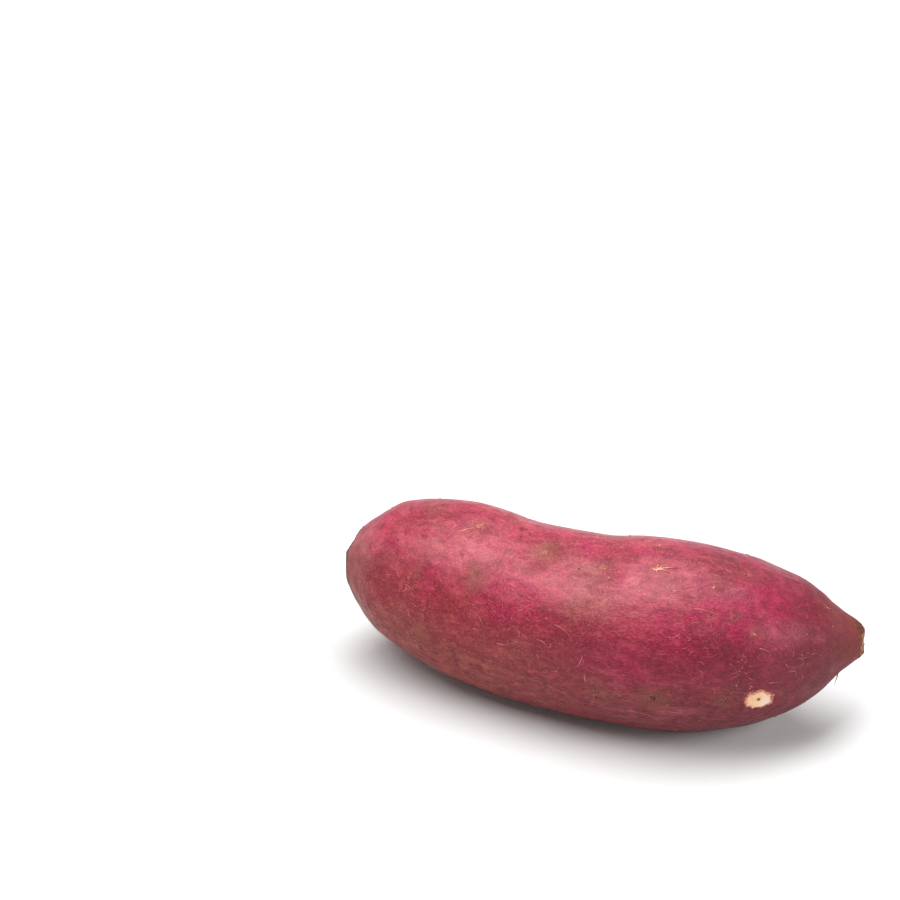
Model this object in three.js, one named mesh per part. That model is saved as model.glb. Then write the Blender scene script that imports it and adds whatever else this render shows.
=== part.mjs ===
// A sweet potato: one grown root, lying on the small flat spot that it rests on.
// Millimetres, +Z up, +X towards the tapered root tip, -Y towards the bulging side of its bend.
// The origin is the middle of the footprint of its bounding box, at the height of its lowest face.

import * as THREE from 'three';

// The root's core line, from the crown (the end that grew on the vine) to the tip, with half
// its width and half its height there. The bend lies nearly level, so that the root lies still.
const STATIONS = [
  { x: -90, y: 25, z: 30, halfWidth: 4, halfHeight: 4 },
  { x: -87, y: 24, z: 30, halfWidth: 9, halfHeight: 9 },
  { x: -81, y: 21, z: 30, halfWidth: 17, halfHeight: 16 },
  { x: -72, y: 18, z: 30, halfWidth: 23, halfHeight: 22 },
  { x: -54, y: 12, z: 29, halfWidth: 27, halfHeight: 27 },
  { x: -32, y: 6, z: 27, halfWidth: 28, halfHeight: 28 },
  { x: -8, y: 0, z: 28, halfWidth: 29, halfHeight: 29 },
  { x: 12, y: -2, z: 29, halfWidth: 30, halfHeight: 30 },
  { x: 32, y: 1, z: 28, halfWidth: 29, halfHeight: 29 },
  { x: 48, y: 5, z: 28, halfWidth: 26, halfHeight: 25 },
  { x: 61, y: 8, z: 29, halfWidth: 19, halfHeight: 19 },
  { x: 71, y: 11, z: 29, halfWidth: 11, halfHeight: 10 },
  { x: 78, y: 13, z: 29, halfWidth: 5, halfHeight: 5 },
];

// The section is never a true ellipse: broad low lobes run along the root and wind slowly round it.
// Each lobe set has a count round the section, a height as a share of the radius there, the
// turn of its first crest at the crown, and how far it winds by the tip, both in radians.
const LOBE_SETS = [
  { count: 2, height: 0.012, turn: 0.9, winding: 1.4 },
  { count: 3, height: 0.014, turn: 2.1, winding: -1.8 },
  { count: 5, height: 0.006, turn: 0.4, winding: 2.6 },
];

// The ground has flattened the root where it rests: nothing reaches below this height.
const REST_HEIGHT = 0;

// The mesh: rings between one station and the next, and points round each ring.
const RINGS_PER_STATION = 5;
const POINTS_PER_RING = 64;

const SKIN_COLOUR = '#9c3a58';
const SKIN_ROUGHNESS = 0.55;
const SKIN_METALNESS = 0;

const UP = new THREE.Vector3(0, 0, 1);

// Smooth curves through the stations. The second carries the half width and half height as x and y.
const coreLine = new THREE.CatmullRomCurve3(
  STATIONS.map(({ x, y, z }) => new THREE.Vector3(x, y, z)),
  false,
  'catmullrom',
);
const girth = new THREE.CatmullRomCurve3(
  STATIONS.map(({ halfWidth, halfHeight }) => new THREE.Vector3(halfWidth, halfHeight, 0)),
  false,
  'catmullrom',
);

function lobeFactor(angle, along) {
  let factor = 1;
  for (const { count, height, turn, winding } of LOBE_SETS) {
    factor += height * Math.cos(count * (angle - turn - winding * along));
  }
  return factor;
}

// One ring of skin points, square to the core line, anticlockwise as seen from the tip.
function sectionPoints(along) {
  const centre = coreLine.getPoint(along);
  const { x: halfWidth, y: halfHeight } = girth.getPoint(along);
  const forward = coreLine.getTangent(along);
  const sideways = new THREE.Vector3().crossVectors(UP, forward).normalize();
  const upwards = new THREE.Vector3().crossVectors(forward, sideways);
  const points = [];
  for (let i = 0; i < POINTS_PER_RING; i += 1) {
    const angle = (2 * Math.PI * i) / POINTS_PER_RING;
    const factor = lobeFactor(angle, along);
    const point = centre.clone();
    point.addScaledVector(sideways, halfWidth * factor * Math.cos(angle));
    point.addScaledVector(upwards, halfHeight * factor * Math.sin(angle));
    point.z = Math.max(point.z, REST_HEIGHT);
    points.push(point);
  }
  return points;
}

// The closed skin: a tube of rings, with a flat end of triangles where the root was snapped off.
function rootGeometry() {
  const ringCount = (STATIONS.length - 1) * RINGS_PER_STATION + 1;
  const positions = [];
  const triangles = [];
  for (let ring = 0; ring < ringCount; ring += 1) {
    for (const point of sectionPoints(ring / (ringCount - 1))) {
      positions.push(...point);
    }
  }
  for (let ring = 0; ring < ringCount - 1; ring += 1) {
    for (let i = 0; i < POINTS_PER_RING; i += 1) {
      const here = ring * POINTS_PER_RING;
      const next = here + POINTS_PER_RING;
      const j = (i + 1) % POINTS_PER_RING;
      triangles.push(here + i, here + j, next + i);
      triangles.push(here + j, next + j, next + i);
    }
  }
  const crownCentre = positions.length / 3;
  const tipCentre = crownCentre + 1;
  positions.push(...coreLine.getPoint(0), ...coreLine.getPoint(1));
  const lastRing = (ringCount - 1) * POINTS_PER_RING;
  for (let i = 0; i < POINTS_PER_RING; i += 1) {
    const j = (i + 1) % POINTS_PER_RING;
    triangles.push(crownCentre, j, i);
    triangles.push(tipCentre, lastRing + i, lastRing + j);
  }
  const geometry = new THREE.BufferGeometry();
  geometry.setAttribute('position', new THREE.Float32BufferAttribute(positions, 3));
  geometry.setIndex(triangles);
  geometry.computeVertexNormals();
  return geometry;
}

const geometry = rootGeometry();
geometry.computeBoundingBox();
const boxCentre = geometry.boundingBox.getCenter(new THREE.Vector3());
geometry.translate(-boxCentre.x, -boxCentre.y, 0);

const skin = new THREE.MeshStandardMaterial({
  color: SKIN_COLOUR,
  roughness: SKIN_ROUGHNESS,
  metalness: SKIN_METALNESS,
});

const root = new THREE.Mesh(geometry, skin);
root.name = 'sweet_potato';

const model = new THREE.Group();
model.add(root);

export default model;
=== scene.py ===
import math

import bpy
import numpy as np
from mathutils import Matrix, Vector, noise
from mathutils.bvhtree import BVHTree


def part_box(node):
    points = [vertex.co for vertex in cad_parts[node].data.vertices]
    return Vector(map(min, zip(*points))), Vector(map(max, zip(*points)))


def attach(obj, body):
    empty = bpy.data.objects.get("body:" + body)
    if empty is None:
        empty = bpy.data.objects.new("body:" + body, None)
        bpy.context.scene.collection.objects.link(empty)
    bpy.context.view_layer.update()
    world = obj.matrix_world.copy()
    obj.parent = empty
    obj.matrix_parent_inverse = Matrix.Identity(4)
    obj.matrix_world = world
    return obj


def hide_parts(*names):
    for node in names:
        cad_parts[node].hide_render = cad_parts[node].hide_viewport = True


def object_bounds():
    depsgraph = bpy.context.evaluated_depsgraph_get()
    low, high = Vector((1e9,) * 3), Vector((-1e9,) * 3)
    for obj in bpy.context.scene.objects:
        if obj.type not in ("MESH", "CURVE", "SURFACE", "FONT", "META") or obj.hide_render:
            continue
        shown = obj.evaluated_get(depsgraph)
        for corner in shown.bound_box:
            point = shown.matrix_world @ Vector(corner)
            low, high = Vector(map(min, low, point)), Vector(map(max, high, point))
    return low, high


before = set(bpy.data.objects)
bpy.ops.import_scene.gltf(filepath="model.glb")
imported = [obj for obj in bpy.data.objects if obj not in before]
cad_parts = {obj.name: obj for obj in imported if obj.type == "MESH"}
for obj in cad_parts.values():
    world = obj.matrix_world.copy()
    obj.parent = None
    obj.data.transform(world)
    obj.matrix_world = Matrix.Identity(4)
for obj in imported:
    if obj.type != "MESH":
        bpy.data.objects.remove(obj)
cad_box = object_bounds()

# ---------------------------------------------------------------- the root and its skin
# One grown storage root, skin and flesh in one. It swelled round a thin feeding root, so its
# section is never a true circle; soil pressed shallow furrows across it, and side roots left
# eyes in rows along it. Its skin is made by casting rays from the core onto the solid.

MM = 0.001
QUARTER_TURN = math.pi / 2

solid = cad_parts["sweet_potato"]
solid_low, solid_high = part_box("sweet_potato")
solid_points = np.array([v.co for v in solid.data.vertices])
solid.data.calc_loop_triangles()
solid_tree = BVHTree.FromPolygons(
    [Vector(p) for p in solid_points],
    [tuple(t.vertices) for t in solid.data.loop_triangles],
)

# The core line runs through the middles of slabs cut across the solid, smoothed by a polynomial.
SLAB_COUNT = 40
CORE_DEGREE = 6
CORE_POINTS = 200
CROWN_INSET = 15 * MM
TIP_INSET = 13 * MM

slab_edges = np.linspace(solid_low.x, solid_high.x, SLAB_COUNT + 1)
slab_middles = []
for low, high in zip(slab_edges[:-1], slab_edges[1:]):
    slab = solid_points[(solid_points[:, 0] >= low) & (solid_points[:, 0] <= high)]
    slab_middles.append((slab.min(axis=0) + slab.max(axis=0)) / 2)
slab_middles = np.array(slab_middles)
core_y = np.polyfit(slab_middles[:, 0], slab_middles[:, 1], CORE_DEGREE)
core_z = np.polyfit(slab_middles[:, 0], slab_middles[:, 2], CORE_DEGREE)
core_x = np.linspace(solid_low.x + CROWN_INSET, solid_high.x - TIP_INSET, CORE_POINTS)
core = np.stack([core_x, np.polyval(core_y, core_x), np.polyval(core_z, core_x)], axis=1)
core_steps = np.linalg.norm(np.diff(core, axis=0), axis=1)
core_length = float(core_steps.sum())
core_along = np.concatenate([[0], np.cumsum(core_steps)])
core_heading = np.gradient(core, core_along, axis=0)


def core_at(distance):
    """The core line's point and heading at that distance from its crown end."""
    point = np.array([np.interp(distance, core_along, core[:, i]) for i in range(3)])
    heading = np.array([np.interp(distance, core_along, core_heading[:, i]) for i in range(3)])
    return point, heading / np.linalg.norm(heading)


# Past each end of the core line the rays fan out to a pole, as lines of longitude do.
FAN_LENGTH = 24 * MM


def ray_ring(travel, turns):
    """One ring of rays round the core: its fan angle, origin, directions and skin distances."""
    fan = 0.0
    if travel < FAN_LENGTH:
        fan = -QUARTER_TURN * (1 - travel / FAN_LENGTH)
    if travel > FAN_LENGTH + core_length:
        fan = QUARTER_TURN * (travel - FAN_LENGTH - core_length) / FAN_LENGTH
    origin, heading = core_at(min(max(travel - FAN_LENGTH, 0), core_length))
    sideways = np.cross(heading, (0, 0, 1))
    sideways /= np.linalg.norm(sideways)
    upwards = np.cross(sideways, heading)
    spokes = np.outer(np.cos(turns), upwards) + np.outer(np.sin(turns), sideways)
    rays = math.cos(fan) * spokes + math.sin(fan) * heading
    hits = [solid_tree.ray_cast(Vector(origin), Vector(ray))[3] for ray in rays]
    return fan, origin, rays, np.array(hits)


# Rings are spaced evenly over the skin: trial rings of a few rays show how far the skin runs.
SKIN_RINGS = 336
SKIN_SPOKES = 292
TRIAL_RINGS = 240
TRIAL_SPOKES = 12

trial_travel = np.linspace(0, core_length + 2 * FAN_LENGTH, TRIAL_RINGS)
trial_turns = np.linspace(0, 2 * math.pi, TRIAL_SPOKES, endpoint=False)
trial_points = []
for travel in trial_travel:
    fan, origin, rays, hits = ray_ring(travel, trial_turns)
    trial_points.append(origin + rays * hits[:, None])
trial_gaps = np.linalg.norm(np.diff(np.array(trial_points), axis=0), axis=2).mean(axis=1)
trial_run = np.concatenate([[0], np.cumsum(trial_gaps)])
ring_run = np.linspace(0, trial_run[-1], SKIN_RINGS)
ring_travel = np.interp(ring_run, trial_run, trial_travel)
spoke_turns = np.linspace(0, 2 * math.pi, SKIN_SPOKES, endpoint=False)

reach = np.zeros((SKIN_RINGS, SKIN_SPOKES))
origins = np.zeros((SKIN_RINGS, 3))
directions = np.zeros((SKIN_RINGS, SKIN_SPOKES, 3))
fans = np.zeros(SKIN_RINGS)
for ring, travel in enumerate(ring_travel):
    fans[ring], origins[ring], directions[ring], reach[ring] = ray_ring(travel, spoke_turns)


def soften(field, spread):
    """Blurs a field over the skin by that many rings and spokes, to lose the solid's facets."""
    size = round(3 * spread)
    offsets = np.arange(-size, size + 1)
    weights = np.exp(-0.5 * (offsets / spread) ** 2)
    weights /= weights.sum()
    field = sum(w * np.roll(field, o, axis=1) for o, w in zip(offsets, weights))
    padded = np.pad(field, ((size, size), (0, 0)), mode="edge")
    return sum(w * padded[size + o : size + o + len(field)] for o, w in zip(offsets, weights))


FACET_BLUR = 2.6
reach = soften(reach, FACET_BLUR)
skin = origins[:, None] + directions * reach[:, :, None]

# The unbent root, in millimetres: how far along the grain a point is, and where it is across it.
# Whatever grew with the root follows these, not the bent shape.
core_travel = np.clip(ring_travel - FAN_LENGTH, 0, core_length)
grain_along = (core_travel[:, None] + reach * np.sin(fans)[:, None]) / MM
grain_out = reach * np.cos(fans)[:, None] / MM
straight = np.stack(
    [grain_along, grain_out * np.cos(spoke_turns), grain_out * np.sin(spoke_turns)], axis=2
)
CROWN_END = float(grain_along[0].mean())
TIP_END = float(grain_along[-1].mean())


def outward(points):
    """Unit normals of the skin, from its neighbours along and round it."""
    along = np.gradient(points, axis=0)
    across = np.roll(points, -1, axis=1) - np.roll(points, 1, axis=1)
    normal = np.cross(across, along)
    normal /= np.maximum(np.linalg.norm(normal, axis=2, keepdims=True), 1e-12)
    return normal * np.sign((normal * directions).sum(axis=2, keepdims=True))


def grown_noise(wavelength, stretch, seed):
    """Smooth noise over the skin, about -1 to 1; its wavelength is in mm, times stretch along."""
    places = straight / wavelength / np.array([stretch, 1.0, 1.0]) + seed
    return np.array([noise.noise(Vector(p)) for p in places.reshape(-1, 3)]).reshape(reach.shape)


def place_offset(along, round_degrees):
    """How far each skin point lies from a place on it: along and round, in mm."""
    turn = math.radians(round_degrees)
    away = (spoke_turns - turn + math.pi) % (2 * math.pi) - math.pi
    return grain_along - along, grain_out * away[None, :]


def hollow(distance, spread):
    """1 in the middle of a hollow, fading out over its spread."""
    return np.exp(-0.5 * (distance / spread) ** 2)


# Swellings of the skin, from broad to fine: height in mm, wavelength in mm, stretch, seed.
SWELLINGS = [
    (0.50, 34, 1.3, 3.1),
    (0.26, 15, 1.8, 11.7),
    (0.16, 6.0, 3.5, 23.9),
    (0.07, 2.8, 1.8, 40.3),
]
relief = sum(height * grown_noise(*grain_noise) for height, *grain_noise in SWELLINGS)

# A soft shoulder runs along the bulging side: a flatter face above it and a steeper one below.
SHOULDER_TURN = math.radians(46)
SHOULDER_WIDTH = math.radians(15)
SHOULDER_HEIGHT = 0.75
SHOULDER_SWAY = 0.16
SHOULDER_MIDDLE = 62
SHOULDER_REACH = 52
shoulder_off = (spoke_turns - SHOULDER_TURN + math.pi) % (2 * math.pi) - math.pi
shoulder_off = shoulder_off[None, :] + SHOULDER_SWAY * grown_noise(40, 1.0, 131.0)
shoulder_share = hollow(grain_along - SHOULDER_MIDDLE, SHOULDER_REACH)
for widths_off, share in ((0, 1.0), (-2.4, -0.45), (2.4, -0.45)):
    on_shoulder = hollow(shoulder_off + widths_off * SHOULDER_WIDTH, SHOULDER_WIDTH)
    relief += SHOULDER_HEIGHT * share * shoulder_share * on_shoulder

# Furrows across the root, where the soil held it in: mm along at the top, how far they slant
# towards the tip on the way down, width and depth in mm.
FURROWS = [
    (20, 4, 5.0, 0.25),
    (45, -5, 4.0, 0.20),
    (76, 8, 5.0, 0.80),
    (113, 4, 4.0, 0.30),
    (134, -3, 3.5, 0.22),
]
furrow_sway = 3.0 * grown_noise(26, 1.0, 61.0)
furrow_share = 0.6 + 0.8 * grown_noise(22, 1.0, 71.0)
furrow_depth = np.zeros_like(relief)
for along, slant, width, depth in FURROWS:
    middle_line = along + slant * (1 - np.cos(spoke_turns)[None, :]) / 2 + furrow_sway
    furrow_depth += depth * hollow(grain_along - middle_line, width)
furrow_depth *= np.clip(furrow_share, 0, 1)
relief -= furrow_depth

# Eyes: mm along, degrees round from the top towards the bulging side, pit width in mm, depth in
# mm of the dent they lie in, how dark the pit is and how torn its rim. The rows round the back
# and the underside are drawn at random.
EYES = [
    (7, 45, 0.50, 0.15, 0.6, 0.3),
    (33, 8, 0.55, 0.35, 0.3, 0.9),
    (42, 44, 0.50, 0.20, 0.8, 0.3),
    (60, 13, 0.60, 0.50, 0.3, 0.8),
    (79, 18, 0.50, 0.25, 0.8, 0.8),
    (81, 26, 0.45, 0.15, 0.2, 0.9),
    (93, 16, 0.60, 0.25, 0.9, 1.0),
    (92, -9, 0.50, 0.15, 0.1, 0.8),
    (109, 43, 0.45, 0.15, 0.9, 0.1),
    (109, 24, 0.40, 0.10, 0.0, 0.8),
    (116, 41, 0.40, 0.10, 0.8, 0.0),
    (119, 4, 0.60, 0.60, 1.0, 0.4),
    (122, 51, 0.40, 0.10, 0.1, 0.9),
    (147, 3, 0.40, 0.15, 0.9, 0.2),
    (24, 96, 0.50, 0.20, 0.4, 0.3),
    (52, 106, 0.45, 0.20, 0.3, 0.4),
    (82, 101, 0.65, 0.35, 0.8, 0.2),
    (96, 99, 0.90, 0.40, 1.0, 0.1),
    (116, 97, 0.75, 0.30, 0.7, 0.2),
]
HIDDEN_ROWS = (152, 204, 256, 310)
EYE_SPACING = 17
EYE_FREE_TIP = 14
EYE_REACH = 7.0
NEXT_EYE_SHARE = 0.48
DENT_SPREAD = 2.4
PIT_SPREAD = 0.55
PIT_DEPTH = 0.35
RIM_RADIUS = 1.3
RIM_SPREAD = 0.5
RIM_HEIGHT = 0.10
EYE_ROW_RADIUS = 28

eye_random = np.random.default_rng(7)
for row_turn in HIDDEN_ROWS:
    along = eye_random.uniform(2, 12)
    while along < TIP_END - EYE_FREE_TIP:
        turn = row_turn + eye_random.uniform(-10, 10)
        width, dent, dark, torn = eye_random.uniform((0.4, 0.1, 0.1, 0.1), (0.65, 0.5, 1, 1))
        EYES.append((along, turn, width, dent, dark, torn))
        along += EYE_SPACING * eye_random.uniform(0.75, 1.35)

eye_offsets = [place_offset(along, turn) for along, turn, *_ in EYES]
eye_distances = np.array([np.hypot(*offset) for offset in eye_offsets])
nearest_eye = eye_distances.argmin(axis=0)
eye_mark = np.zeros((*reach.shape, 3))
eye_look = np.zeros((*reach.shape, 3))
for index, (along, turn, width, dent, dark, torn) in enumerate(EYES):
    run, across = eye_offsets[index]
    distance = eye_distances[index]
    to_others = [
        math.hypot(
            other_along - along,
            EYE_ROW_RADIUS * math.radians((other_turn - turn + 180) % 360 - 180),
        )
        for other_along, other_turn, *_ in EYES
        if (other_along, other_turn) != (along, turn)
    ]
    limit = min(EYE_REACH, NEXT_EYE_SHARE * min(to_others))
    relief -= dent * hollow(distance, DENT_SPREAD)
    relief -= PIT_DEPTH * dark * hollow(np.hypot(run / 0.8, across / 1.3), PIT_SPREAD)
    relief += RIM_HEIGHT * torn * hollow(distance - RIM_RADIUS, RIM_SPREAD)
    own = nearest_eye == index
    eye_mark[own, 0] = run[own]
    eye_mark[own, 1] = across[own]
    eye_mark[own, 2] = np.clip(1 - distance[own] / limit, 0, 1)
    eye_look[own] = (width, dark, torn)

# Where the skin is stained olive-brown, and where it is flushed a stronger magenta: mm along,
# degrees round, size along and round in mm, and strength. More are drawn for the hidden sides.
STAINS = [
    (34, 6, 4, 4, 0.6),
    (61, 9, 8, 5, 0.8),
    (79, 20, 4, 4, 0.4),
    (78, 48, 7, 7, 0.5),
    (83, 72, 6, 6, 0.4),
    (82, 104, 4, 7, 0.7),
    (43, 66, 4, 5, 0.5),
    (96, 99, 3, 3, 0.6),
    (117, 92, 4, 9, 0.6),
    (112, 20, 4, 2, 0.4),
    (119, 2, 5, 4, 0.3),
    (14, 88, 7, 6, 0.5),
    (40, 104, 10, 5, 0.5),
]
FLUSHES = [
    (94, 78, 16, 8, 0.9),
    (50, 62, 12, 5, 0.8),
    (71, 2, 7, 4, 0.8),
    (112, 44, 7, 5, 0.9),
    (128, 66, 8, 7, 0.6),
    (24, 58, 8, 8, 0.5),
    (122, 14, 10, 6, 0.4),
    (104, 112, 12, 5, 0.4),
]
HIDDEN_STAINS = 14
HIDDEN_FLUSHES = 12
PATCH_SWAY = 3.5
patch_random = np.random.default_rng(23)
for spots, count in ((STAINS, HIDDEN_STAINS), (FLUSHES, HIDDEN_FLUSHES)):
    for _ in range(count):
        spot = patch_random.uniform((4, 138, 4, 4, 0.4), (150, 338, 12, 8, 0.9))
        spots.append(tuple(spot))


def spread_patches(spots, seed):
    """The share of the skin that patches cover at each point, with wandering edges."""
    sway_run = PATCH_SWAY * grown_noise(11, 1.0, seed)
    sway_across = PATCH_SWAY * grown_noise(11, 1.0, seed + 9)
    covered = np.zeros_like(reach)
    for along, turn, run_size, across_size, strength in spots:
        run, across = place_offset(along, turn)
        distance = np.hypot((run + sway_run) / run_size, (across + sway_across) / across_size)
        covered = np.maximum(covered, strength * np.exp(-0.7 * distance**2))
    return covered


stain_share = spread_patches(STAINS, 151.0)
flush_share = spread_patches(FLUSHES, 171.0)

# One patch was scraped through the skin to the pale flesh: mm along, degrees round, half length
# and half width in mm, and how far its long way slants down towards the tip.
SCRAPE = (126, 100)
SCRAPE_SIZE = (5.2, 3.7)
SCRAPE_SLANT = math.radians(26)
SCRAPE_DEPTH = 0.32
scrape_run, scrape_across = place_offset(*SCRAPE)
scrape_long = scrape_run * math.cos(SCRAPE_SLANT) + scrape_across * math.sin(SCRAPE_SLANT)
scrape_wide = scrape_across * math.cos(SCRAPE_SLANT) - scrape_run * math.sin(SCRAPE_SLANT)
scrape_edge = np.hypot(scrape_long / SCRAPE_SIZE[0], scrape_wide / SCRAPE_SIZE[1])
relief -= SCRAPE_DEPTH / (1 + np.exp((scrape_edge - 0.95) * 14))

# Both ends were snapped off: a ragged rim, and a rough face sunk a little inside it. The skin
# behind each is wrinkled where it dried. Each stub's half width is in mm.
CROWN_STUB = 3.9
TIP_STUB = 4.6
STUB_RIM_HEIGHT = 0.42
STUB_FACE_DEPTH = 0.45
STUB_ROUGHNESS = 0.30
END_WRINKLES = 0.22
for end, stub in ((CROWN_END, CROWN_STUB), (TIP_END, TIP_STUB)):
    on_end = hollow(grain_along - end, 1.6)
    edge = stub + 0.5 * grown_noise(2.2, 1.0, 83.0 + end)
    relief += STUB_RIM_HEIGHT * on_end * hollow(grain_out - edge, 0.7)
    relief -= STUB_FACE_DEPTH * on_end / (1 + np.exp((grain_out - edge + 0.9) * 4))
    relief += STUB_ROUGHNESS * on_end * grown_noise(1.3, 1.0, 91.0)
    relief += END_WRINKLES * hollow(grain_along - end, 18) * grown_noise(3.4, 2.2, 97.0 + end)

skin += outward(skin) * (relief * MM)[:, :, None]
skin[:, :, 2] = np.maximum(skin[:, :, 2], 0.0)
skin_normals = outward(skin)

# The mesh: rings of four-sided faces, closed at the poles.
inner_rings = SKIN_RINGS - 2
crown_pole = inner_rings * SKIN_SPOKES
tip_pole = crown_pole + 1


def on_mesh(field):
    """A field of the ring grid as one row for each vertex of the mesh."""
    body = field[1:-1].reshape(crown_pole, -1)
    return np.concatenate([body, [field[0].mean(axis=0)], [field[-1].mean(axis=0)]])


skin_faces = []
for ring in range(inner_rings - 1):
    here = ring * SKIN_SPOKES
    following = here + SKIN_SPOKES
    for spoke in range(SKIN_SPOKES):
        right = (spoke + 1) % SKIN_SPOKES
        skin_faces.append((here + spoke, here + right, following + right, following + spoke))
last_ring = (inner_rings - 1) * SKIN_SPOKES
for spoke in range(SKIN_SPOKES):
    right = (spoke + 1) % SKIN_SPOKES
    skin_faces.append((crown_pole, right, spoke))
    skin_faces.append((tip_pole, last_ring + spoke, last_ring + right))


def smooth_mesh(name, points, faces):
    """A mesh that is shaded smooth."""
    mesh = bpy.data.meshes.new(name)
    mesh.from_pydata(points, [], faces)
    mesh.polygons.foreach_set("use_smooth", [True] * len(faces))
    return mesh


def put_in_scene(name, data):
    """An object that holds a mesh, a light or a camera."""
    made = bpy.data.objects.new(name, data)
    bpy.context.scene.collection.objects.link(made)
    return made


skin_mesh = smooth_mesh("root_skin", on_mesh(skin).tolist(), skin_faces)
root_skin = put_in_scene("root_skin", skin_mesh)

# The skin laid out flat as one strip: once round across, pole to pole upwards.
UNWRAP_EDGE = 0.004
unwrap = skin_mesh.uv_layers.new(name="OFBake")
unwrapped = []
for face in skin_faces:
    rings_up = [corner // SKIN_SPOKES + 1 for corner in face]
    spokes = [corner % SKIN_SPOKES for corner in face]
    if face[0] >= crown_pole:
        rings_up[0] = 0 if face[0] == crown_pole else inner_rings + 1
        spokes[0] = min(spokes[1:])
    if max(spokes) - min(spokes) > SKIN_SPOKES / 2:
        spokes = [s + SKIN_SPOKES if s < SKIN_SPOKES / 2 else s for s in spokes]
    for spoke, rings in zip(spokes, rings_up):
        unwrapped.append(UNWRAP_EDGE + (1 - 2 * UNWRAP_EDGE) * spoke / SKIN_SPOKES)
        unwrapped.append(UNWRAP_EDGE + (1 - 2 * UNWRAP_EDGE) * rings / (inner_rings + 1))
unwrap.data.foreach_set("uv", unwrapped)


def keep_on_skin(name, field):
    """Stores a field of the ring grid on the mesh, for the material to read."""
    layer = skin_mesh.attributes.new(name, "FLOAT_VECTOR", "POINT")
    layer.data.foreach_set("vector", on_mesh(field).astype(np.float32).ravel())


keep_on_skin("straight", straight)
keep_on_skin("eye_mark", eye_mark)
keep_on_skin("eye_look", eye_look)
keep_on_skin("tints", np.stack([stain_share, flush_share, furrow_depth], axis=2))

# The skin's finish: thin, magenta, with a soft gloss. It is netted with fine pale fibres and
# short dark cracks that run mostly with the grain, browned in the furrows and round the eyes,
# and crusted at the snapped ends. A scraped patch shows the cream flesh. Shade is painted into
# its colour too: darker flanks, underside and tip, and a painted highlight on the shoulder.


class Wire:
    """One socket of a node tree. Arithmetic on it adds the Math nodes."""

    def __init__(self, nodes, socket):
        self.nodes = nodes
        self.socket = socket

    def __add__(self, other):
        return self.nodes.maths("ADD", self, other)

    def __sub__(self, other):
        return self.nodes.maths("SUBTRACT", self, other)

    def __rsub__(self, other):
        return self.nodes.maths("SUBTRACT", other, self)

    def __mul__(self, other):
        return self.nodes.maths("MULTIPLY", self, other)

    def __truediv__(self, other):
        return self.nodes.maths("DIVIDE", self, other)

    def __abs__(self):
        return self.nodes.maths("ABSOLUTE", self)

    __radd__ = __add__
    __rmul__ = __mul__


class Nodes:
    """A node tree, and the one way to add a node to it."""

    def __init__(self, tree):
        self.tree = tree
        self.tree.nodes.clear()

    def node(self, kind, settings=None, sockets=None, output=0):
        """Adds a node: its settings first, then the values or links of its sockets."""
        made = self.tree.nodes.new(kind)
        for name, value in (settings or {}).items():
            setattr(made, name, value)
        for name, value in (sockets or {}).items():
            if isinstance(value, Wire):
                self.tree.links.new(value.socket, made.inputs[name])
            else:
                made.inputs[name].default_value = value
        return Wire(self, made.outputs[output]) if made.outputs else made

    def maths(self, operation, *values):
        return self.node("ShaderNodeMath", {"operation": operation}, dict(enumerate(values)))

    def vector(self, operation, *values, output=0):
        settings = {"operation": operation}
        return self.node("ShaderNodeVectorMath", settings, dict(enumerate(values)), output)

    def length(self, vector):
        return self.vector("LENGTH", vector, output=1)

    def parts(self, vector):
        """The three numbers of a vector."""
        split = self.node("ShaderNodeSeparateXYZ", {}, {"Vector": vector}).socket.node
        return [Wire(self, output) for output in split.outputs]


class Paint(Nodes):
    """A material made of nodes."""

    def __init__(self, name):
        self.material = bpy.data.materials.new(name)
        self.material.use_nodes = True
        super().__init__(self.material.node_tree)

    def kept(self, name, output=1):
        """A field that the mesh holds under that name: a vector, or a number at output 2."""
        return self.node("ShaderNodeAttribute", {"attribute_name": name}, {}, output)

    def rise(self, value, low, high):
        """0 below low, 1 above high, and a smooth rise between them. A high that is less than
        low turns it round: 1 below high and 0 above low."""
        sockets = {"Value": value, "From Min": low, "From Max": high}
        return self.node("ShaderNodeMapRange", {"interpolation_type": "SMOOTHSTEP"}, sockets)

    def blend(self, factor, first, second):
        """One colour going over to another."""
        sockets = {0: factor, 6: first, 7: second}
        return self.node("ShaderNodeMix", {"data_type": "RGBA"}, sockets, 2)

    def scaled(self, place, wavelength, stretch, seed):
        """A place divided by a wavelength in mm, stretched along the grain."""
        share = (1 / wavelength / stretch, 1 / wavelength, 1 / wavelength)
        return self.vector("MULTIPLY_ADD", place, share, (seed, seed * 1.7, seed * 0.6))

    def cloud(self, place, wavelength, stretch, seed, detail=2.0, roughness=0.5, output=0):
        """Noise from 0 to 1."""
        sockets = {
            "Vector": self.scaled(place, wavelength, stretch, seed),
            "Scale": 1.0,
            "Detail": detail,
            "Roughness": roughness,
        }
        return self.node("ShaderNodeTexNoise", {}, sockets, output)

    def pushed(self, place, wavelength, amount, seed):
        """A place pushed about by noise, so that what reads it wanders."""
        push = self.cloud(place, wavelength, 1.0, seed, output=1)
        return self.vector("MULTIPLY_ADD", push, (amount, amount, amount), place)

    def contour(self, place, wavelength, stretch, seed, width):
        """Thin winding lines where a noise passes its middle value."""
        height = self.cloud(place, wavelength, stretch, seed, 1.5)
        return 1 - self.rise(abs(height - 0.5), 0.0, width)

    def finish(self, sockets):
        """Ends the material in one surface with those sockets."""
        surface = self.node("ShaderNodeBsdfPrincipled", {}, sockets)
        self.node("ShaderNodeOutputMaterial", {}, {"Surface": surface})
        return self.material


def tone(red, green, blue):
    """A display colour, 0 to 255, as the shader's linear colour."""

    def linear(value):
        value /= 255
        return value / 12.92 if value <= 0.04045 else ((value + 0.055) / 1.055) ** 2.4

    return (linear(red), linear(green), linear(blue), 1)


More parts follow.
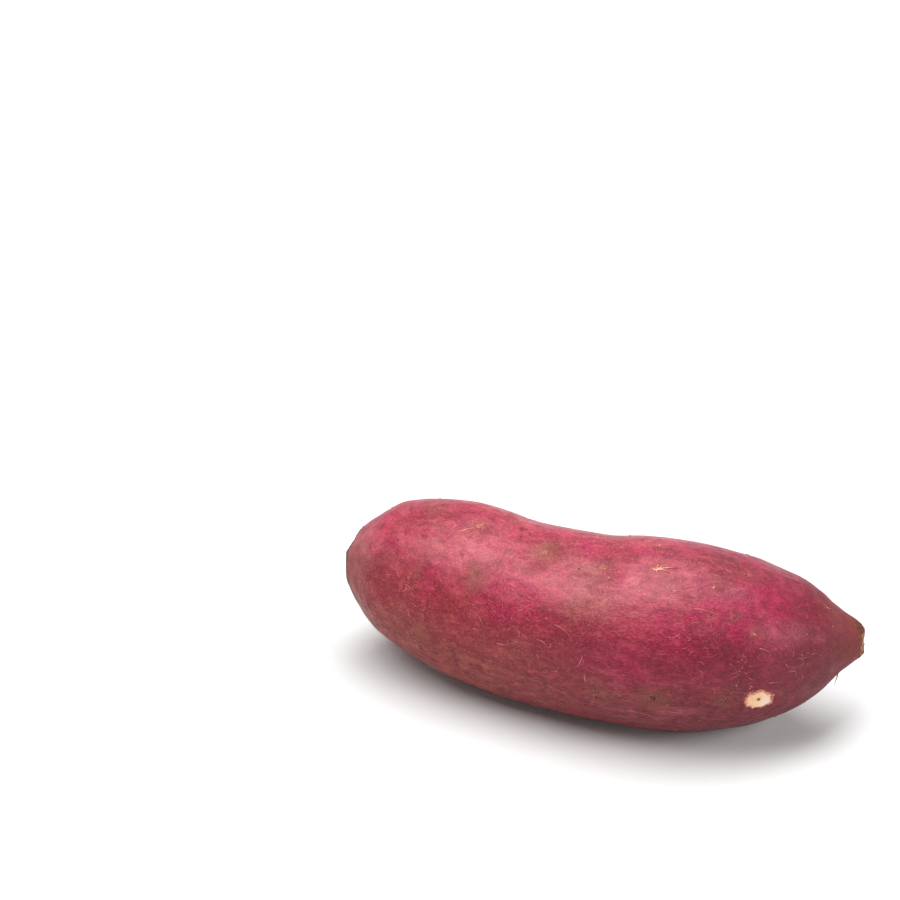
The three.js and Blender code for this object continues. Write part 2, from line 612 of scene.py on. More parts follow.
VIVID = tone(158, 16, 72)
MAGENTA = tone(152, 20, 66)
ROSE = tone(156, 44, 66)
DEEP = tone(118, 12, 42)
FLANK_SHADE = tone(112, 2, 34)
RUDDY = tone(154, 28, 44)
WINE_AND_SHADE = tone(98, 8, 14)
BROWN = tone(118, 50, 46)
OLIVE = tone(114, 60, 46)
SOIL_AND_SHADE = tone(108, 32, 26)
PALE_WEAR_AND_HIGHLIGHT = tone(206, 134, 132)
TAN = tone(170, 96, 70)
CRACK = tone(88, 10, 12)
FIBRE = tone(194, 94, 98)
FLECK = tone(104, 4, 32)
CRUST = tone(70, 42, 28)
CORK = tone(214, 168, 118)
HUSK = tone(218, 156, 126)
FLESH = tone(224, 188, 158)
DRIED = tone(216, 206, 196)
RIM = tone(154, 86, 52)
PIT = tone(54, 26, 18)
HOLE = tone(104, 54, 30)
RUST = tone(146, 66, 52)
THREAD = tone(214, 142, 124)

peel = Paint("sweet_potato_skin")
grain = peel.kept("straight")
stained, flushed, furrow = peel.parts(peel.kept("tints"))


def offset_from(along, round_degrees):
    """How far the shaded point is from one place on the skin, as a vector in mm."""
    turn = math.radians(round_degrees % 360)
    ring = int(np.abs(grain_along.mean(axis=1) - along).argmin())
    spoke = round(turn / (2 * math.pi) * SKIN_SPOKES) % SKIN_SPOKES
    return peel.vector("SUBTRACT", grain, tuple(straight[ring, spoke]))


# Two ways to read a place on the skin: where it wanders widely, and where it curls finely.
wander = peel.pushed(grain, 9, 8.0, 5.0)
curled = peel.pushed(grain, 3.0, 2.4, 61.0)

# Where the shaded point is: along the root, how far out, and how it faces.
run_along, upwards, sideways = peel.parts(grain)
across_grain = peel.length(peel.vector("MULTIPLY", grain, (0, 1, 1)))
facing_up = upwards / across_grain
facing_side = sideways / across_grain
flank_tint_and_shade = peel.rise(facing_up, 0.80, 0.25)
crown_half = peel.rise(run_along, 85, 25)
shaded_tip_half = peel.rise(run_along, 80, 122)

# Slow colour: magenta to rose, ruddy on the crown half's flanks, darker flanks as painted shade,
# browned in patches and in the furrows, soiled low on the root and darker there as painted
# shade, tanned low on the root, and wine red towards the tip, darker there as painted shade.
patches = peel.cloud(wander, 13, 1.4, 7.7, 3, 0.55)
deep_patches = peel.cloud(wander, 9, 1.6, 29.0, 3, 0.55)
brown_patches = peel.cloud(wander, 15, 0.8, 14.0, 4, 0.6)
colour = peel.blend(peel.rise(patches, 0.38, 0.60), MAGENTA, ROSE)
colour = peel.blend(crown_half * flank_tint_and_shade * 0.5, colour, RUDDY)
# Painted shade: the flanks, which get less of the light from above, are darkened in colour.
colour = peel.blend(flank_tint_and_shade * 0.56, colour, FLANK_SHADE)
colour = peel.blend(peel.rise(deep_patches, 0.50, 0.72) * (0.6 + flank_tint_and_shade * 0.2), colour, DEEP)
browned = peel.rise(brown_patches + furrow * 0.45, 0.48, 0.76)
colour = peel.blend(browned * 0.8, colour, BROWN)
colour = peel.blend(flushed * peel.rise(deep_patches, 0.70, 0.35), colour, VIVID)
stain_edge = peel.cloud(curled, 3.0, 1.0, 141.0, 4, 0.65)
stain = peel.rise(stained + (stain_edge - 0.5) * 0.9, 0.10, 0.85)
colour = peel.blend(stain * 0.75, colour, OLIVE)
# Soil and painted shade: low on the root the skin is browned by soil and darkened as painted
# shade.
underside = peel.rise((patches - 0.5) * 0.8 - facing_up, -0.15, 0.85)
colour = peel.blend(underside * 0.5, colour, SOIL_AND_SHADE)
tan_patches = peel.rise(peel.cloud(curled, 5.0, 1.5, 173.0, 4, 0.65), 0.48, 0.66)
tanned = peel.rise(facing_up, 0.35, -0.35) * (0.35 + peel.rise(run_along, 75, 20) * 0.65)
colour = peel.blend(tan_patches * tanned * 0.6, colour, TAN)
to_tip = TIP_END - run_along
# Tint and painted shade: the thin tip end turns wine red and darker, partly as painted shade.
tapered_tint_and_shade = peel.rise(to_tip + (patches - 0.5) * 20, 34, 4)
colour = peel.blend(tapered_tint_and_shade * 0.7, colour, WINE_AND_SHADE)

# Fine colour: a mottle, a felt of short strands along the grain, paler and darker and thicker
# in patches, and low on the root, where it is wrinkled, dark cracks and tan streaks.
mottle = peel.cloud(curled, 2.4, 1.7, 21.0, 4, 0.65)
felt = peel.cloud(curled, 0.52, 1.5, 33.0, 2, 0.6)
strand_patches = peel.rise(peel.cloud(grain, 6.0, 1.5, 43.0, 3, 0.6), 0.35, 0.65)
breaks = peel.rise(peel.cloud(grain, 1.9, 1.6, 41.0, 1), 0.42, 0.60)
short_strands = peel.rise(peel.cloud(curled, 0.42, 4.5, 51.0, 1), 0.58, 0.72)
net_strands = peel.contour(curled, 1.5, 2.4, 71.0, 0.035) * breaks
long_strands = peel.contour(curled, 3.4, 3.2, 79.0, 0.014)
long_strands = long_strands * peel.rise(peel.cloud(grain, 4.0, 1.6, 53.0, 1), 0.50, 0.60)
flecks = peel.rise(peel.cloud(curled, 0.5, 2.8, 97.0, 1), 0.60, 0.76)
fleck_patches = peel.rise(deep_patches, 0.42, 0.62)
wrinkled = peel.rise(facing_up, 0.2, -0.3)
streaks = peel.cloud(curled, 0.42, 6.0, 37.0, 2, 0.6)
wrinkles = peel.contour(curled, 2.8, 2.6, 151.0, 0.085) * (1 - breaks) * wrinkled
cracked = peel.rise(peel.cloud(grain, 5.0, 1.5, 167.0, 2), 0.42, 0.58) * wrinkled
cracks = peel.rise(peel.cloud(curled, 0.7, 4.0, 163.0, 1), 0.60, 0.70) * cracked
colour = peel.blend(peel.rise(mottle, 0.46, 0.68), colour, DEEP)
colour = peel.blend(wrinkles * 0.80, colour, CRACK)
colour = peel.blend(cracks, colour, CRACK)
colour = peel.blend(peel.rise(mottle, 0.50, 0.28) * 0.40, colour, FIBRE)
colour = peel.blend(peel.rise(felt, 0.48, 0.72) * 0.62, colour, FLECK)
colour = peel.blend(flecks * (0.20 + fleck_patches * 0.40), colour, FLECK)
colour = peel.blend(peel.rise(streaks, 0.52, 0.70) * wrinkled * 0.45, colour, CRACK)
colour = peel.blend(peel.rise(streaks, 0.48, 0.30) * wrinkled * 0.5, colour, TAN)
colour = peel.blend(peel.rise(felt, 0.50, 0.26) * 0.38, colour, FIBRE)
colour = peel.blend(short_strands * (0.10 + strand_patches * 0.22), colour, FIBRE)
colour = peel.blend(net_strands * (0.06 + strand_patches * 0.24), colour, FIBRE)
colour = peel.blend(long_strands * 0.26, colour, FIBRE)

# Painted highlight: the skin is painted paler along the top of the shoulder, where the
# overhead softbox's highlight falls, less towards the tip.
painted_highlight = peel.rise(facing_up, 0.35, 0.85) * peel.rise(facing_side, 0.10, 0.45)
painted_highlight = painted_highlight * peel.rise(run_along, 130, 92)
colour = peel.blend(painted_highlight * (0.04 + strand_patches * 0.13), colour, PALE_WEAR_AND_HIGHLIGHT)

# One pale scuff, streaked along the grain: mm along, degrees round.
PALE_SCUFF = (103, 109)
from_scuff = peel.vector("MULTIPLY", offset_from(*PALE_SCUFF), (1 / 8, 1 / 4, 1 / 4))
scuff_reach = peel.length(from_scuff) + (strand_patches - 0.5) * 0.5
scuffed = peel.rise(scuff_reach, 1.0, 0.3) * peel.rise(streaks, 0.40, 0.60)
colour = peel.blend(scuffed * 0.45, colour, PALE_WEAR_AND_HIGHLIGHT)

# Painted shade: the flanks are painted darker than the top, and warmer on the crown half. The
# tip half is painted darker too, and the thin tip end darkest.
CLEAR = (1, 1, 1, 1)
FLANK_SHADE_VEIL = (0.79, 0.60, 0.70, 1)
TAPER_SHADE_VEIL = (0.60, 0.34, 0.38, 1)
RUDDY_VEIL = (0.92, 0.84, 0.66, 1)
TIP_SHADE_VEIL = (0.73, 0.46, 0.68, 1)
shade_veil = peel.blend(flank_tint_and_shade * (1 - crown_half * underside * 0.5), CLEAR, FLANK_SHADE_VEIL)
shade_veil = peel.blend(tapered_tint_and_shade * 0.8, shade_veil, TAPER_SHADE_VEIL)
shade_veil = peel.blend(crown_half * flank_tint_and_shade, shade_veil, RUDDY_VEIL)
colour = peel.vector("MULTIPLY", colour, shade_veil)
# Painted shade: the whole tip half is darkened further.
colour = peel.vector("MULTIPLY", colour, peel.blend(shaded_tip_half, CLEAR, TIP_SHADE_VEIL))

# Eyes: a browned halo, a torn rim, paler on a wide eye, and a dark pit, all uneven.
eye_place = peel.kept("eye_mark")
eye_near = peel.parts(eye_place)[2]
eye_width, eye_dark, eye_torn = peel.parts(peel.kept("eye_look"))
ragged = peel.cloud(grain, 0.9, 1.0, 101.0, 3, 0.6)
shreds = peel.cloud(grain, 0.42, 1.0, 109.0, 2, 0.6)
pit_reach = peel.length(peel.vector("MULTIPLY", eye_place, (1, 0.8, 0)))
rim_away = peel.vector("MULTIPLY_ADD", eye_place, (0.8, 1.2, 0), (0.30, 0.25, 0))
rim_reach = peel.length(rim_away)
pit_share = (pit_reach + (ragged - 0.5) * 0.9) / eye_width
rim_share = (rim_reach + (ragged - 0.5) * 1.4) / eye_width
seen = peel.rise(eye_near, 0.05, 0.35)
halo = peel.rise(eye_near, 0.05, 0.85) * peel.rise(brown_patches + shreds, 0.80, 1.25)
rim = peel.rise(rim_share, 2.4, 1.0) * peel.rise(shreds, 0.46, 0.58) * seen * eye_torn
pit = (1 - peel.rise(pit_share, 0.5, 1.0)) * seen * eye_dark
colour = peel.blend(halo * 0.6, colour, OLIVE)
colour = peel.blend(rim * 0.80, colour, peel.blend(eye_width - 0.1, RIM, HUSK))
colour = peel.blend(pit * 0.85, colour, PIT)

# The scraped patch: cream flesh, drier on one side and speckled, a rusty rim, and one small
# dark hole. Its outline is a flat one that reaches straight through the root, so a second patch
# with no dent and no hole shows on the far side. That one is a fault: only one is meant.
away = offset_from(*SCRAPE)
scrape_turn = math.radians(SCRAPE[1])
round_way = Vector((0, -math.sin(scrape_turn), math.cos(scrape_turn)))
tip_way = Vector((1, 0, 0))
long_way = tip_way * math.cos(SCRAPE_SLANT) + round_way * math.sin(SCRAPE_SLANT)
wide_way = round_way * math.cos(SCRAPE_SLANT) - tip_way * math.sin(SCRAPE_SLANT)
scrape_side = peel.vector("DOT_PRODUCT", away, tuple(long_way), output=1) / SCRAPE_SIZE[0]
scrape_down = peel.vector("DOT_PRODUCT", away, tuple(wide_way), output=1) / SCRAPE_SIZE[1]
scrape_away = peel.node("ShaderNodeCombineXYZ", {}, {"X": scrape_side, "Y": scrape_down})
scrape_rough = peel.cloud(grain, 1.7, 1.0, 113.0, 4, 0.65)
scrape_reach = peel.length(scrape_away) + (scrape_rough - 0.5) * 0.9
scraped = 1 - peel.rise(scrape_reach, 0.93, 0.99)
core_shift = peel.vector("MULTIPLY_ADD", scrape_away, (1.14, 0.98, 0), (-0.02, -0.10, 0))
core_reach = peel.length(core_shift) + (scrape_rough - 0.5) * 0.9
scrape_core = 1 - peel.rise(core_reach + (shreds - 0.5) * 0.5, 0.70, 0.86)
hole = 1 - peel.rise(peel.length(away) + (ragged - 0.5), 0.30, 0.80)
rim_colour = peel.blend(peel.rise(shreds, 0.45, 0.60) * 0.7, RUST, THREAD)
colour = peel.blend(scraped, colour, rim_colour)
colour = peel.blend(scrape_core * 0.95, colour, FLESH)
colour = peel.blend(peel.rise(scrape_side + shreds, 1.0, 0.1) * scrape_core * 0.6, colour, CORK)
colour = peel.blend(peel.rise(scrape_side + shreds, 0.6, 1.1) * scrape_core * 0.7, colour, DRIED)
colour = peel.blend(peel.rise(ragged, 0.50, 0.70) * scrape_core * 0.35, colour, CORK)
colour = peel.blend(hole, colour, HOLE)

# The snapped ends: dark crust round a corky face, which has a broken dark ring in it. Near each
# end the skin is browned where it dried; towards the tip that browning is partly painted shade.
crust_noise = peel.cloud(grain, 2.6, 1.6, 127.0, 4, 0.65)
face_noise = peel.cloud(grain, 0.8, 1.0, 131.0, 3, 0.7)
dry = rim + scraped
for end, stub, inwards in ((CROWN_END, CROWN_STUB, 1), (TIP_END, TIP_STUB, -1)):
    from_end = (run_along - end) * inwards
    crusted = 1 - peel.rise(from_end + (crust_noise - 0.5) * 6, 0.4, 4.4)
    dulled = 1 - peel.rise(from_end + (crust_noise - 0.5) * 14, 1.0, 15.0)
    on_face = (1 - peel.rise(from_end, 1.0, 1.8)) * (1 - peel.rise(across_grain, stub - 1, stub))
    colour = peel.blend(dulled * 0.5, colour, BROWN)
    crust = peel.blend(peel.rise(face_noise, 0.50, 0.72) * 0.7, CRUST, RIM)
    colour = peel.blend(crusted * 0.9, colour, crust)
    broken = peel.blend(peel.rise(face_noise, 0.42, 0.62) * 0.5, OLIVE, CORK)
    from_ring = abs(across_grain - 0.6 * stub) + (face_noise - 0.5) * 2.4
    broken = peel.blend(peel.rise(from_ring, 0.8, 0.1) * 0.65, broken, CRUST)
    colour = peel.blend(on_face * 0.9, colour, broken)
    dry = dry + crusted + dulled * 0.5

BUMP_HEIGHT = 0.2 * MM
SKIN_SPECULAR = 0.31
height = (
    felt * 1.2
    + mottle * 1.6
    + short_strands * 0.3
    + long_strands * 0.5
    - flecks * 0.4
    - wrinkles * 1.8
    - cracks * 2.6
    - pit * 1.2
    + rim * 0.8
    - scraped * 0.8
)
sockets = {"Strength": 0.5, "Distance": BUMP_HEIGHT, "Height": height}
bump = peel.node("ShaderNodeBump", {}, sockets)
roughness = 0.31 + mottle * 0.19 + halo * 0.12 + tapered_tint_and_shade * 0.18 + dry * 0.25 + pit * 0.35
sockets = {
    "Base Color": colour,
    "Roughness": roughness,
    "Normal": bump,
    "Specular IOR Level": SKIN_SPECULAR,
}
skin_mesh.materials.append(peel.finish(sockets))

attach(root_skin, "root")
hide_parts("sweet_potato")

# ---------------------------------------------------------------- threads and root hairs
# Where a side root broke off, threads of its skin stay round the eye like a small star. Finer
# ones lie curled where the peel is scuffed, and a few dry root hairs still stand near the ends.
# All are the root's own fibre and grow out of its skin.


def skin_at(along, round_degrees):
    """A place on the finished skin: its point, and the direction out of the skin there."""
    spoke = (round_degrees % 360) / 360 * SKIN_SPOKES
    first = int(spoke) % SKIN_SPOKES
    second = (first + 1) % SKIN_SPOKES
    ring = np.interp(along, grain_along[:, first], np.arange(SKIN_RINGS))
    low = min(int(ring), SKIN_RINGS - 2)
    found = []
    for grid in (skin, skin_normals):
        start = grid[low, first] * (1 - spoke % 1) + grid[low, second] * (spoke % 1)
        stop = grid[low + 1, first] * (1 - spoke % 1) + grid[low + 1, second] * (spoke % 1)
        found.append(start * (1 - ring % 1) + stop * (ring % 1))
    return found


THREAD_STEPS = 8
THREAD_SUNK = 0.04
THREAD_RISE = 0.10


def thread_path(along, round_degrees, bearing, length, curl, lift):
    """A thread's path in metres: it starts just under the skin and follows it, or rises off it
    by a share of its length. Lengths are in mm, and the bearing is in degrees from the way to
    the tip."""
    path = []
    root_radius = float(np.interp(along, grain_along[:, 0], grain_out.mean(axis=1)))
    for step in range(THREAD_STEPS + 1):
        share = step / THREAD_STEPS
        angle = math.radians(bearing + curl * share)
        run = share * length * math.cos(angle)
        across = math.degrees(share * length * math.sin(angle) / root_radius)
        point, out = skin_at(along + run, round_degrees + across)
        height = length * lift * share - THREAD_SUNK + THREAD_RISE * min(share * 4, 1)
        path.append(point + out * MM * height)
    return path


# The eye at the bend shows a whole star of threads: bearing in degrees and length in mm.
STAR_EYE = (93, 16)
STAR_THREADS = [
    (-36, 3.8),
    (-24, 5.6),
    (-10, 4.4),
    (6, 3.0),
    (75, 2.0),
    (98, 2.6),
    (150, 2.4),
    (184, 3.6),
    (200, 2.4),
    (262, 3.2),
    (290, 2.2),
]
# Loose threads of skin: mm along, degrees round, bearing, length in mm, curl in degrees and
# radius in mm.
LOOSE_THREADS = [
    (30, 13, 128, 4.4, 12, 0.24),
    (30, 13, -20, 2.4, -30, 0.16),
    (33, 6, -70, 3.0, 24, 0.10),
    (34, 6, -108, 3.4, -20, 0.10),
    (34, 8, 20, 2.6, 30, 0.10),
    (101, 56, 110, 4.5, 60, 0.09),
    (78, 78, 88, 5.0, 24, 0.10),
    (79, 90, 96, 5.5, -14, 0.11),
    (81, 104, 84, 4.5, 20, 0.09),
    (104, 40, -8, 9.0, 22, 0.10),
    (98, 30, 12, 6.0, -26, 0.08),
    (88, 8, -20, 5.0, 30, 0.07),
    (70, 62, 8, 5.5, 24, 0.10),
    (66, 74, -14, 4.0, 50, 0.09),
    (66, 84, 30, 3.0, 70, 0.09),
    (104, 5, 4, 5.0, 18, 0.07),
    (54, 84, 10, 5.0, -32, 0.08),
    (124, 60, -6, 4.0, 30, 0.10),
    (90, 112, 4, 7.0, 12, 0.08),
    (128, 86, -5, 5.0, 18, 0.07),
]
EYE_THREAD_LIFT = 0.03
EYE_THREAD_RADIUS = 0.09
RADIUS_PER_LENGTH = 0.028
thread_random = np.random.default_rng(11)
eye_paths = []
for along, turn, *_, torn in EYES:
    if (along, turn) == STAR_EYE:
        threads = STAR_THREADS
    else:
        count = round(1 + 4 * torn)
        bearings = thread_random.uniform(0, 360, count)
        threads = [(b, thread_random.uniform(0.5, 0.8 + 1.2 * torn)) for b in bearings]
    for bearing, length in threads:
        curl = thread_random.uniform(-40, 40)
        radius = EYE_THREAD_RADIUS + RADIUS_PER_LENGTH * length
        path = thread_path(along, turn, bearing, length, curl, EYE_THREAD_LIFT)
        eye_paths.append((path, radius * MM))

# Where the peel is scuffed, squiggles of it lie in clusters: mm along, degrees round, reach and
# usual length in mm, and how many.
SCUFFS = [
    (14, 66, 5, 1.7, 24),
    (22, 76, 6, 1.6, 18),
    (12, 38, 6, 1.6, 12),
    (33, 12, 5, 2.2, 14),
    (30, 32, 8, 1.4, 18),
    (60, 76, 9, 2.0, 16),
    (70, 96, 9, 1.8, 12),
    (84, 40, 7, 1.8, 10),
    (104, 8, 6, 2.0, 12),
    (102, 60, 8, 1.9, 12),
    (119, 82, 6, 2.2, 20),
    (136, 70, 6, 1.8, 12),
    (40, 190, 9, 2.2, 16),
    (96, 236, 9, 2.4, 16),
    (66, 318, 9, 2.0, 14),
]
ROOT_RADIUS = 26
SCUFF_RADIUS = 0.055
for along, turn, reach_out, usual, count in SCUFFS:
    for _ in range(count):
        off_along, off_round = thread_random.normal(0, reach_out / 2, 2)
        length = usual * thread_random.uniform(0.5, 1.5)
        bearing = thread_random.normal(0, 50)
        curl = thread_random.choice((-1, 1)) * thread_random.uniform(20, 110)
        at_turn = turn + math.degrees(off_round / ROOT_RADIUS)
        LOOSE_THREADS.append((along + off_along, at_turn, bearing, length, curl, SCUFF_RADIUS))
# More lie anywhere, but none where the root rests.
STRAY_THREADS = 90
STRAY_RADIUS = 0.06
LOWEST_THREAD = 1.5 * MM
for _ in range(STRAY_THREADS):
    along, turn, length, curl = thread_random.uniform((2, 0, 1.5, -70), (148, 360, 5, 70))
    bearing = thread_random.normal(0, 35)
    LOOSE_THREADS.append((along, turn, bearing, length, curl, STRAY_RADIUS))
loose_paths = []
for along, turn, bearing, length, curl, radius in LOOSE_THREADS:
    path = thread_path(along, turn, bearing, length, curl, 0.0)
    if min(point[2] for point in path) > LOWEST_THREAD:
        loose_paths.append((path, radius * MM))

# Hairs: mm along, degrees round, and radius in mm. They stand near the tip and the crown.
HAIRS = [
    (149, 126, 0.22),
    (153, 60, 0.09),
    (141, 172, 0.09),
    (12, 18, 0.09),
    (6, 150, 0.09),
    (3, 250, 0.09),
    (18, 300, 0.09),
    (133, 262, 0.09),
]
HAIR_LIFT = 0.7
hair_paths = []
for along, turn, radius in HAIRS:
    bearing, curl, length = thread_random.uniform((0, -60, 1.6), (360, 60, 3.0))
    path = thread_path(along, turn, bearing, length, curl, HAIR_LIFT)
    hair_paths.append((path, radius * MM))


class Growing(Nodes):
    """A Geometry Nodes tree with named inputs, which grows a piece from a starting mesh."""

    def __init__(self, name, inputs):
        super().__init__(bpy.data.node_groups.new(name, "GeometryNodeTree"))
        self.sockets = {}
        for label, kind in {"Start": "Geometry", **inputs, "Material": "Material"}.items():
            socket = self.tree.interface.new_socket(
                name=label, in_out="INPUT", socket_type="NodeSocket" + kind
            )
            self.sockets[label] = socket.identifier
        self.tree.interface.new_socket(
            name="Grown", in_out="OUTPUT", socket_type="NodeSocketGeometry"
        )
        self.group = self.node("NodeGroupInput").socket.node

    def given(self, label):
        return Wire(self, self.group.outputs[label])

    def ends(self, geometry):
        """Closes the tree: instances made real, smooth, and given the material."""
        real = self.node("GeometryNodeRealizeInstances", {}, {"Geometry": geometry})
        smooth = self.node("GeometryNodeSetShadeSmooth", {}, {"Geometry": real})
        sockets = {"Geometry": smooth, "Material": self.given("Material")}
        self.node("NodeGroupOutput", {}, {0: self.node("GeometryNodeSetMaterial", {}, sockets)})

    def grow(self, name, start, values):
        """Runs the tree on a mesh and keeps the result as a plain mesh."""
        piece = put_in_scene(name, start)
        modifier = piece.modifiers.new("grow", "NODES")
        modifier.node_group = self.tree
        for label, value in values.items():
            modifier[self.sockets[label]] = value
        evaluated = piece.evaluated_get(bpy.context.evaluated_depsgraph_get())
        grown = bpy.data.meshes.new_from_object(evaluated)
        piece.modifiers.remove(modifier)
        piece.data = grown
        return piece


def path_mesh(name, paths):
    """Open paths as loose edges, each point with the radius there: a thread thins to its end."""
    points, edges, radii = [], [], []
    for path, radius in paths:
        first = len(points)
        points += [tuple(point) for point in path]
        edges += [(first + i, first + i + 1) for i in range(len(path) - 1)]
        radii += [radius * (1.05 - i / (len(path) - 1)) for i in range(len(path))]
    mesh = bpy.data.meshes.new(name)
    mesh.from_pydata(points, edges, [])
    layer = mesh.attributes.new("girth", "FLOAT", "POINT")
    layer.data.foreach_set("value", radii)
    return mesh


# A thread is a round section swept along its path, at the radius that each point holds.
thread_tree = Growing("threads", {"Sides": "Int", "Thickness": "Float"})
spines = thread_tree.node("GeometryNodeMeshToCurve", {}, {"Mesh": thread_tree.given("Start")})
outline = thread_tree.node(
    "GeometryNodeCurvePrimitiveCircle",
    {"mode": "RADIUS"},
    {"Resolution": thread_tree.given("Sides"), "Radius": 1.0},
)
girth = thread_tree.node("GeometryNodeInputNamedAttribute", {"data_type": "FLOAT"}, {0: "girth"})
sockets = {
    "Curve": spines,
    "Profile Curve": outline,
    "Scale": girth * thread_tree.given("Thickness"),
    "Fill Caps": True,
}
thread_tree.ends(thread_tree.node("GeometryNodeCurveToMesh", {}, sockets))


def dry_fibre(name, pale, dark, ends=None):
    """A material for what is dry and corky on the skin, uneven between two colours. Thin ends
    may have a colour of their own."""
    paint = Paint(name)
    place = paint.node("ShaderNodeTexCoord", output=3)
    uneven = paint.node("ShaderNodeTexNoise", {}, {"Vector": place, "Scale": 700.0})
    fibre_colour = paint.blend(paint.rise(uneven, 0.35, 0.65), pale, dark)
    if ends:
        radius_here = paint.kept("girth", 2)
        thinned = paint.rise(radius_here / MM, 0.16, 0.05)
        fibre_colour = paint.blend(thinned, fibre_colour, ends)
    return paint.finish({"Base Color": fibre_colour, "Roughness": 0.7 + uneven * 0.2})


TORN_HUSK = tone(226, 164, 146)
for name, paths, material in (
    ("eye_threads", eye_paths, dry_fibre("torn_rim", TORN_HUSK, HUSK, FIBRE)),
    ("loose_threads", loose_paths, dry_fibre("torn_skin", THREAD, FIBRE)),
    ("root_hairs", hair_paths, dry_fibre("dry_root_hair", CRUST, PIT)),
):
    values = {"Sides": 5, "Thickness": 1.0, "Material": material}
    piece = thread_tree.grow(name, path_mesh(name + "_paths", paths), values)
    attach(piece, "root")

# ---------------------------------------------------------------- corky specks
# Small breathing pores in the skin, each closed by a low corky cap. They sit at random all over
# the root but not where it rests.

LOWEST_SPECK = 3 * MM

sizes = {name: "Float" for name in ("Density", "Smallest", "Largest", "Flatness")}
speck_tree = Growing("specks", {**sizes, "Seed": "Int"})
speck_height = speck_tree.parts(speck_tree.node("GeometryNodeInputPosition"))[2]
speck_spots = speck_tree.node(
    "GeometryNodeDistributePointsOnFaces",
    {},
    {
        "Mesh": speck_tree.given("Start"),
        "Selection": speck_tree.maths("GREATER_THAN", speck_height, LOWEST_SPECK),
        "Density": speck_tree.given("Density"),
        "Seed": speck_tree.given("Seed"),
    },
)
# The third output of that node turns a speck to face out of the skin.
skin_facing = Wire(speck_tree, speck_spots.socket.node.outputs[2])


def speck_random(highest, seed):
    """A random number from 0 to the highest, for each speck."""
    sockets = {2: 0.0, 3: highest, "Seed": seed}
    return speck_tree.node("FunctionNodeRandomValue", {"data_type": "FLOAT"}, sockets, 1)


speck_turn = speck_random(2 * math.pi, speck_tree.given("Seed"))
speck_spin = speck_tree.node(
    "FunctionNodeAxisAngleToRotation", {}, {"Axis": (0, 0, 1), "Angle": speck_turn}
)
speck_facing = speck_tree.node(
    "FunctionNodeRotateRotation",
    {"rotation_space": "LOCAL"},
    {"Rotation": skin_facing, "Rotate By": speck_spin},
)
# Most specks are small: the share between the smallest and the largest is cubed.
growth = speck_random(1.0, speck_tree.given("Seed") + 5)
smallest = speck_tree.given("Smallest")
size_range = speck_tree.given("Largest") - smallest
speck_size = smallest + growth * growth * growth * size_range
speck_shape = speck_tree.node(
    "ShaderNodeCombineXYZ",
    {},
    {"X": speck_size * 1.3, "Y": speck_size, "Z": speck_size * speck_tree.given("Flatness")},
)
speck_cap = speck_tree.node("GeometryNodeMeshIcoSphere", {}, {"Radius": 1.0, "Subdivisions": 2})
speck_tree.ends(
    speck_tree.node(
        "GeometryNodeInstanceOnPoints",
        {},
        {
            "Points": speck_spots,
            "Instance": speck_cap,
            "Rotation": speck_facing,
            "Scale": speck_shape,
        },
    )
)
corky_specks = speck_tree.grow(
    "corky_specks",
    skin_mesh,
    {
        "Density": 5000.0,
        "Smallest": 0.10 * MM,
        "Largest": 0.42 * MM,
        "Flatness": 0.5,
        "Seed": 4,
        "Material": dry_fibre("cork", RIM, CRUST),
    },
)
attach(corky_specks, "root")

# ---------------------------------------------------------------- paper under and behind it
# Plain white paper on a table, a round dish of it: flat under the root and curved up into a
# wall far off, so that no edge shows from any side.

PAPER_MIDDLE = 0.4
PAPER_FLAT = 1.6
PAPER_CURVE = 0.8
PAPER_SPOKES = 96
PAPER_STEPS = 24
PAPER_WHITE = (0.66, 0.66, 0.66, 1)

profile = [(PAPER_MIDDLE, 0.0), (PAPER_FLAT, 0.0)]
for step in range(1, PAPER_STEPS + 1):
    turn = QUARTER_TURN * step / PAPER_STEPS
    profile.append(
        (PAPER_FLAT + PAPER_CURVE * math.sin(turn), PAPER_CURVE * (1 - math.cos(turn)))
    )
paper_points = [(0.0, 0.0, 0.0)]
for radius, lift in profile:
    for spoke in range(PAPER_SPOKES):
        turn = 2 * math.pi * spoke / PAPER_SPOKES
        paper_points.append((radius * math.cos(turn), radius * math.sin(turn), lift))
paper_faces = []
for spoke in range(PAPER_SPOKES):
    paper_faces.append((0, 1 + spoke, 1 + (spoke + 1) % PAPER_SPOKES))
for ring in range(len(profile) - 1):
    here = 1 + ring * PAPER_SPOKES
    following = here + PAPER_SPOKES
    for spoke in range(PAPER_SPOKES):
        right = (spoke + 1) % PAPER_SPOKES
        paper_faces.append((here + spoke, following + spoke, following + right, here + right))
paper_mesh = smooth_mesh("paper", paper_points, paper_faces)
paper = put_in_scene("paper", paper_mesh)
white = Paint("white_paper")
paper_mesh.materials.append(white.finish({"Base Color": PAPER_WHITE, "Roughness": 0.9}))

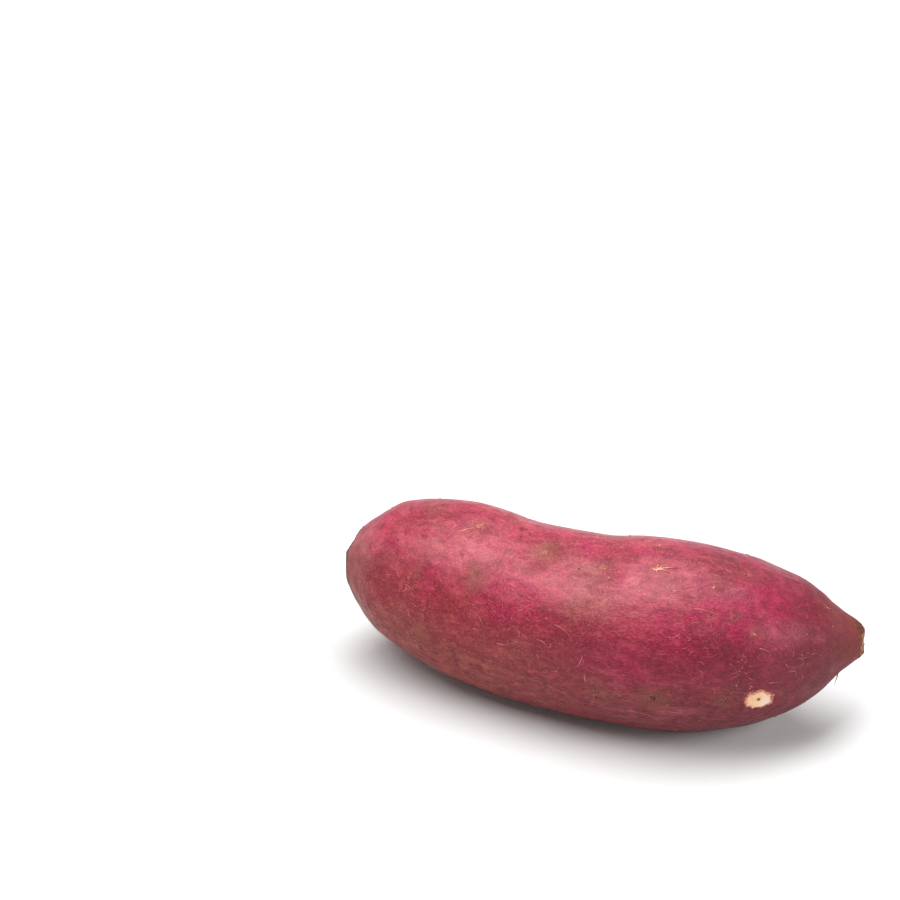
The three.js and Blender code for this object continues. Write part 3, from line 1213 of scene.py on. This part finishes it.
# ---------------------------------------------------------------- light and camera
# A wide softbox overhead, a weak small one low on the side of the tip, and a dim room.

middle = (Vector(cad_box[0]) + Vector(cad_box[1])) / 2


def softbox(name, place, width, depth, power):
    """A rectangle of light that faces the middle of the root."""
    lamp = bpy.data.lights.new(name, "AREA")
    lamp.shape = "RECTANGLE"
    lamp.size = width
    lamp.size_y = depth
    lamp.energy = power
    holder = put_in_scene(name, lamp)
    holder.location = place
    holder.rotation_euler = (middle - Vector(place)).to_track_quat("-Z", "Y").to_euler()


softbox("overhead_softbox", place=(-0.48, 0.25, 3.2), width=5.6, depth=2.4, power=253)
softbox("side_softbox", place=(2.3, -0.55, 1.5), width=1.6, depth=1.2, power=46)

ROOM_STRENGTH = 0.05
room = bpy.data.worlds.new("room")
room.use_nodes = True
room.node_tree.nodes["Background"].inputs["Color"].default_value = (1, 1, 1, 1)
room.node_tree.nodes["Background"].inputs["Strength"].default_value = ROOM_STRENGTH
bpy.context.scene.world = room
bpy.context.scene.view_settings.view_transform = "Standard"

# The camera looks down at the root from the side of its bulge, turned a little to the tip. The
# root lies right of and below the middle of the view.
CAMERA_TURN = math.radians(15)
CAMERA_RISE = math.radians(28)
CAMERA_LENS = 100
CAMERA_DISTANCE = 0.789
AIM_LEFT = 50.5 * MM
AIM_UP = 56.2 * MM
AIM_SHIFT = Vector((0.0059, -0.0038, -0.0017))

back = Vector(
    (
        math.sin(CAMERA_TURN) * math.cos(CAMERA_RISE),
        -math.cos(CAMERA_TURN) * math.cos(CAMERA_RISE),
        math.sin(CAMERA_RISE),
    )
)
camera_right = Vector((math.cos(CAMERA_TURN), math.sin(CAMERA_TURN), 0))
camera_up = back.cross(camera_right)
camera = put_in_scene("camera", bpy.data.cameras.new("camera"))
camera.data.lens = CAMERA_LENS
camera.location = (
    middle + AIM_SHIFT - AIM_LEFT * camera_right + AIM_UP * camera_up + CAMERA_DISTANCE * back
)
camera.rotation_euler = Matrix((camera_right, camera_up, back)).transposed().to_euler()
bpy.context.scene.camera = camera
